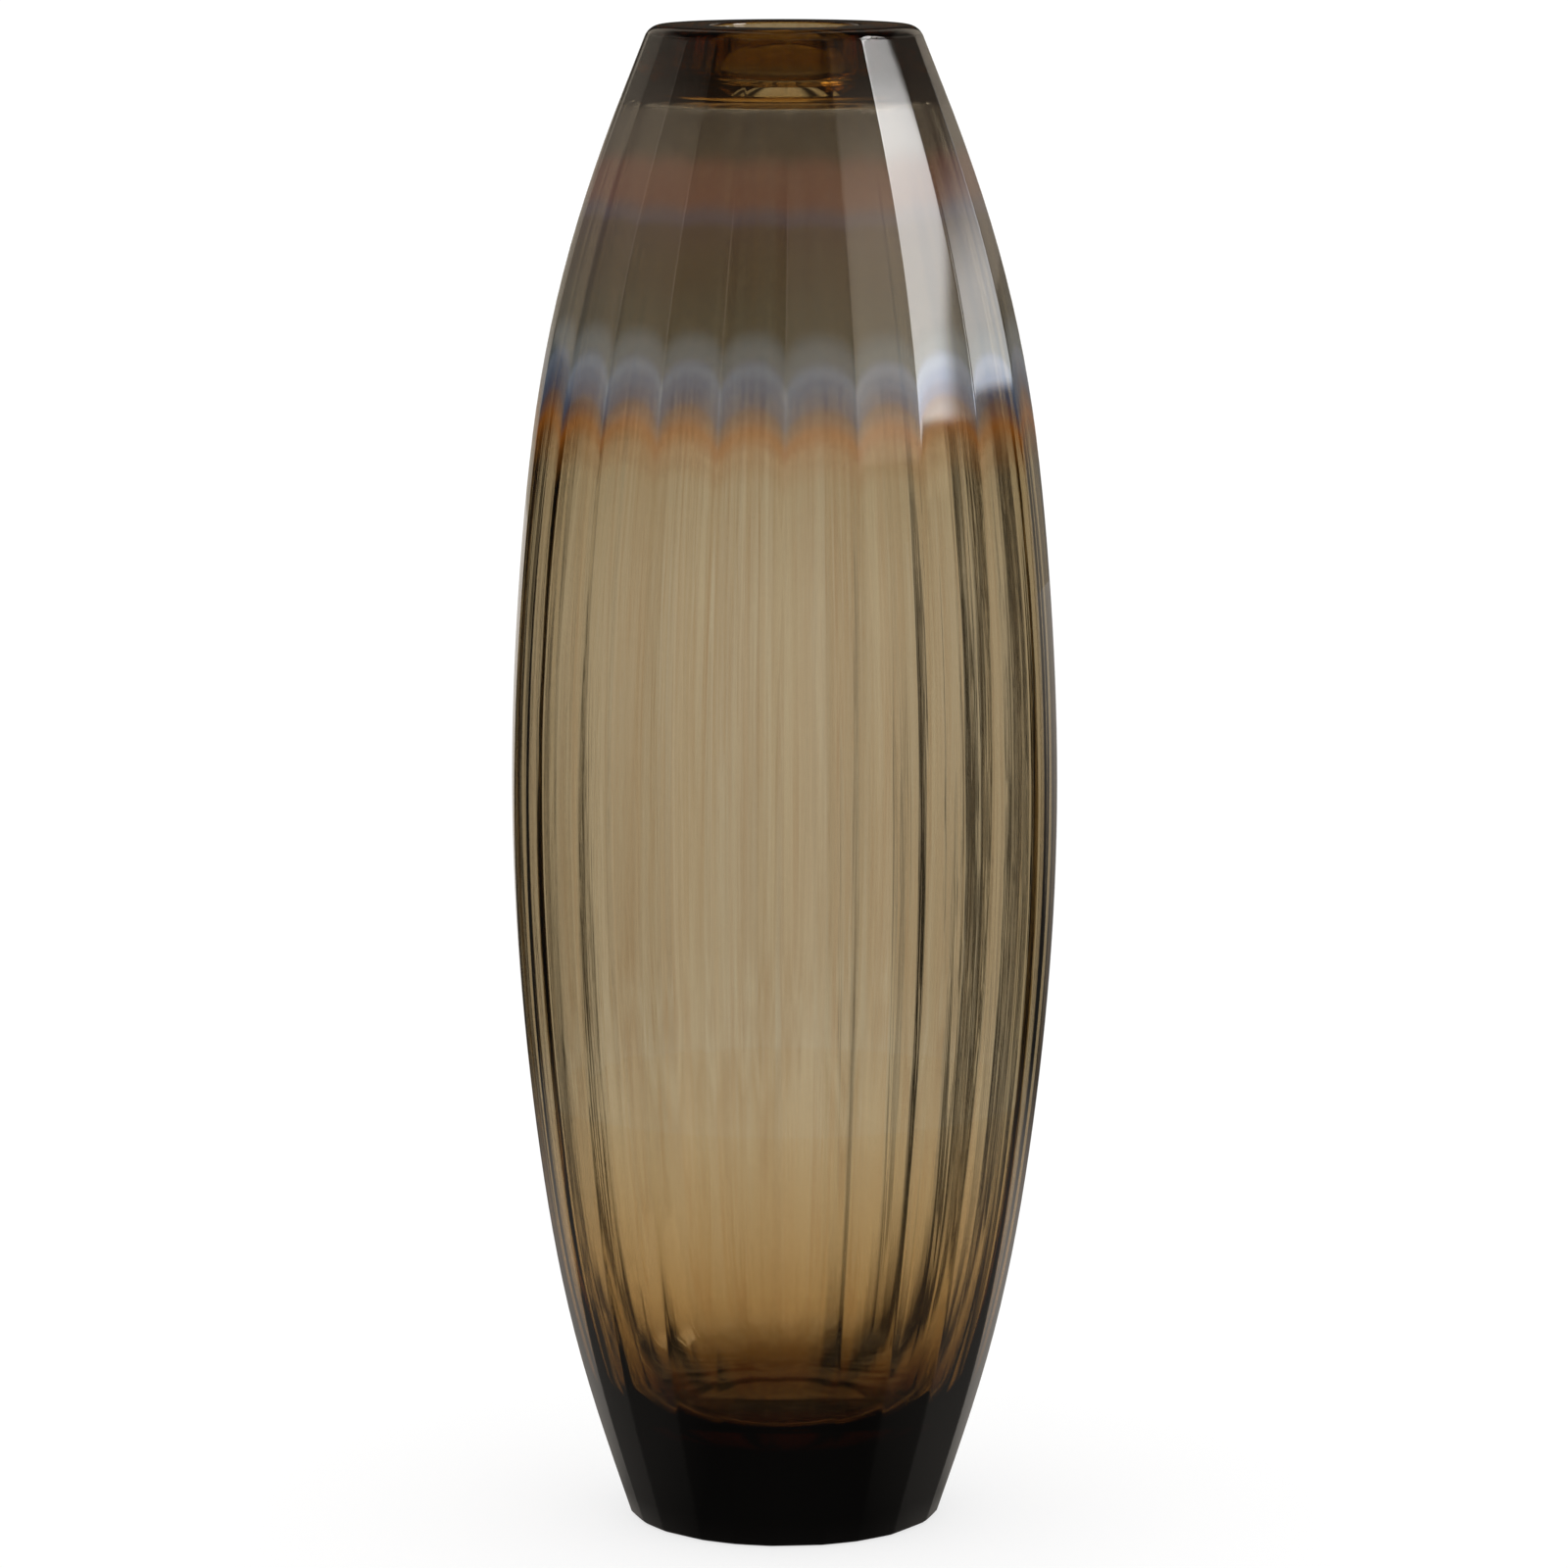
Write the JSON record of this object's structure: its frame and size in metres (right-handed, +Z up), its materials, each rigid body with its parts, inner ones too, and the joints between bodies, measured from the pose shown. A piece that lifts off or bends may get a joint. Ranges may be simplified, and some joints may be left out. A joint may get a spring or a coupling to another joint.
{
  "type": "hand blown art glass vase",
  "caption": "Tall barrel vase of thick smoky glass over amber, with upright cut facets, a solid heel, a thick flat lip and a lustred shoulder.",
  "frame": {"origin": "middle of the underside, in the plane that the vase stands on", "axes": "+Z up along the vase's axis, -Y towards the front"},
  "size_m": [0.1635, 0.1641, 0.45],
  "materials": {
    "smoky_glass": "clear smoky brown glass, cut in facets and polished",
    "amber_glass": "clear amber brown glass, fused inside the smoky glass in the heel, the lining and the lip",
    "lustre": "half mirrored metal lustre in brown, grey and blue bands, fading out below"
  },
  "bodies": {
    "root": {"heel_gather": "amber_glass", "inner_gather": "amber_glass", "outer_gather": "smoky_glass", "lip_ring": "amber_glass", "lustre_film": "lustre"}
  },
  "joints": []
}
